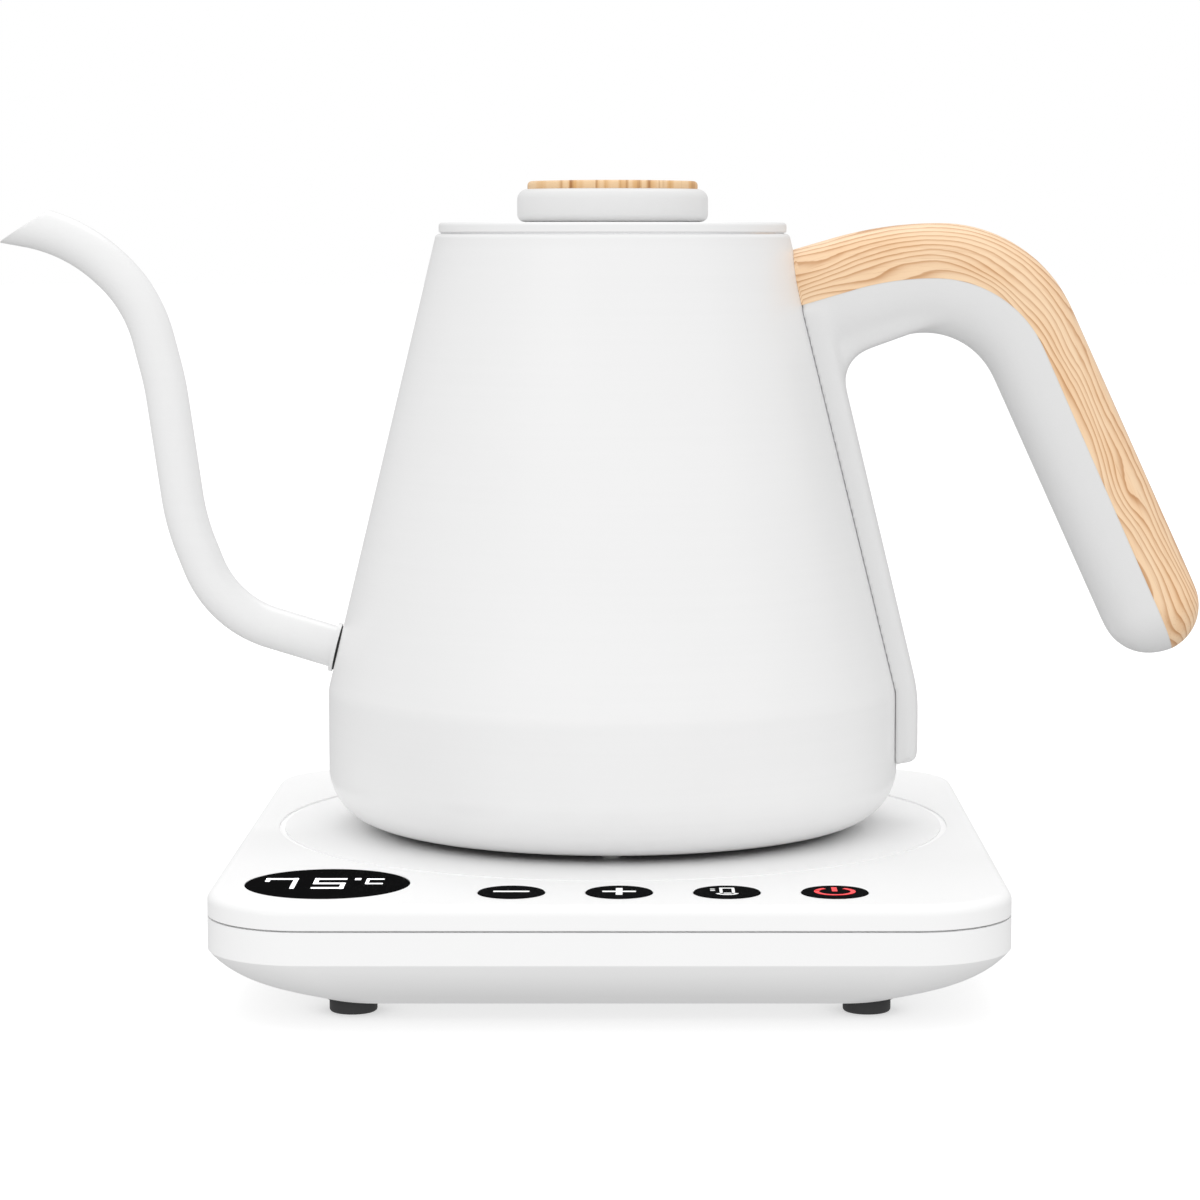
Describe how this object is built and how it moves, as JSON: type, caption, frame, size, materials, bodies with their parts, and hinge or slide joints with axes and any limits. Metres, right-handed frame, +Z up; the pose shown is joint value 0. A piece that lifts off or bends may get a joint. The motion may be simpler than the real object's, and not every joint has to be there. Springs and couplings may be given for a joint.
{
  "type": "electric gooseneck kettle",
  "caption": "White electric pour-over kettle with a slender curved spout, ash-wood handle and lid disc, on a square-cornered heating base with round display and push buttons.",
  "frame": {"origin": "on the surface it stands on, at the middle of the whole object's footprint; the kettle's own upright axis is at x = 2.6 mm, y = 12 mm", "axes": "+Z up; -X towards the spout, +X towards the handle; -Y towards the controls, +Y towards the cord inlet"},
  "size_m": [0.3148, 0.2168, 0.2012],
  "materials": {
    "white_coat": "satin powder coat",
    "white_moulding": "smooth satin moulded plastic",
    "ash_wood": "oiled light ash with brown grain",
    "black_gloss": "gloss black",
    "black_moulding": "matt black moulded plastic",
    "black_rubber": "matt",
    "clear_silicone": "translucent silicone",
    "bare_steel": "brushed stainless steel",
    "zinc_screw": "zinc plated",
    "heater_aluminium": "cast",
    "contact_brass": "plated contacts",
    "board_laminate": "circuit board laminate",
    "ceramic_body": "moulded electrical component"
  },
  "bodies": {
    "base": {"base_top_cover": "white_moulding", "base_bottom_cover": "white_moulding", "base_feet": "black_rubber", "base_screws": "zinc_screw", "display_window": "black_gloss", "display_module": "black_moulding", "control_board": "board_laminate", "tact_switches": "black_moulding", "power_board": "board_laminate", "power_relay": "black_moulding", "power_transformer": "ceramic_body", "filter_capacitor": "ceramic_body", "buzzer": "black_moulding", "board_screws": "zinc_screw", "base_connector": "white_moulding", "connector_screws": "zinc_screw", "base_contacts": "contact_brass", "cord_grommet": "black_rubber"},
    "swivel": {"swivel_ring": "white_moulding"},
    "kettle": {"kettle_shell": "white_coat", "mouth_ring": "bare_steel", "vessel_floor": "bare_steel", "spout_tube": "white_coat", "spout_collar": "white_coat", "heat_plate": "heater_aluminium", "heating_element": "heater_aluminium", "element_terminals": "zinc_screw", "thermal_cutouts": "ceramic_body", "thermal_fuse": "ceramic_body", "temperature_probe": "bare_steel", "probe_seal": "clear_silicone", "bottom_cover": "black_moulding", "floor_studs": "bare_steel", "bottom_screws": "zinc_screw", "kettle_feet": "clear_silicone", "kettle_connector": "black_moulding", "kettle_contacts": "contact_brass", "handle_frame": "white_moulding", "handle_grip": "ash_wood", "grip_dowels": "ash_wood", "handle_bracket": "bare_steel"},
    "lid": {"lid_shell": "white_coat", "lid_liner": "bare_steel", "lid_gasket": "clear_silicone", "knob_body": "white_moulding", "knob_disc": "ash_wood", "knob_screw": "zinc_screw"},
    "minus_key": {"button_minus": "black_gloss"},
    "plus_key": {"button_plus": "black_gloss"},
    "warm_key": {"button_warm": "black_gloss"},
    "power_key": {"button_power": "black_gloss"}
  },
  "joints": [
    {"name": "kettle_swivel", "type": "hinge", "parent": "base", "child": "swivel", "pos_m": [0.0026, 0.012, 0.032], "axis": [0, 0, 1], "continuous": true},
    {"name": "kettle_lift", "type": "slide", "parent": "swivel", "child": "kettle", "axis": [0, 0, 1], "range_m": [0, 0.12]},
    {"name": "lid_lift", "type": "slide", "parent": "kettle", "child": "lid", "axis": [0, 0, 1], "range_m": [0, 0.05]},
    {"name": "minus_press", "type": "slide", "parent": "base", "child": "minus_key", "axis": [0, 0, -1], "range_m": [0, 0.0005], "stiffness_N_per_m": 800, "springref_m": -0.001},
    {"name": "plus_press", "type": "slide", "parent": "base", "child": "plus_key", "axis": [0, 0, -1], "range_m": [0, 0.0005], "stiffness_N_per_m": 800, "springref_m": -0.001},
    {"name": "warm_press", "type": "slide", "parent": "base", "child": "warm_key", "axis": [0, 0, -1], "range_m": [0, 0.0005], "stiffness_N_per_m": 800, "springref_m": -0.001},
    {"name": "power_press", "type": "slide", "parent": "base", "child": "power_key", "axis": [0, 0, -1], "range_m": [0, 0.0005], "stiffness_N_per_m": 800, "springref_m": -0.001}
  ]
}
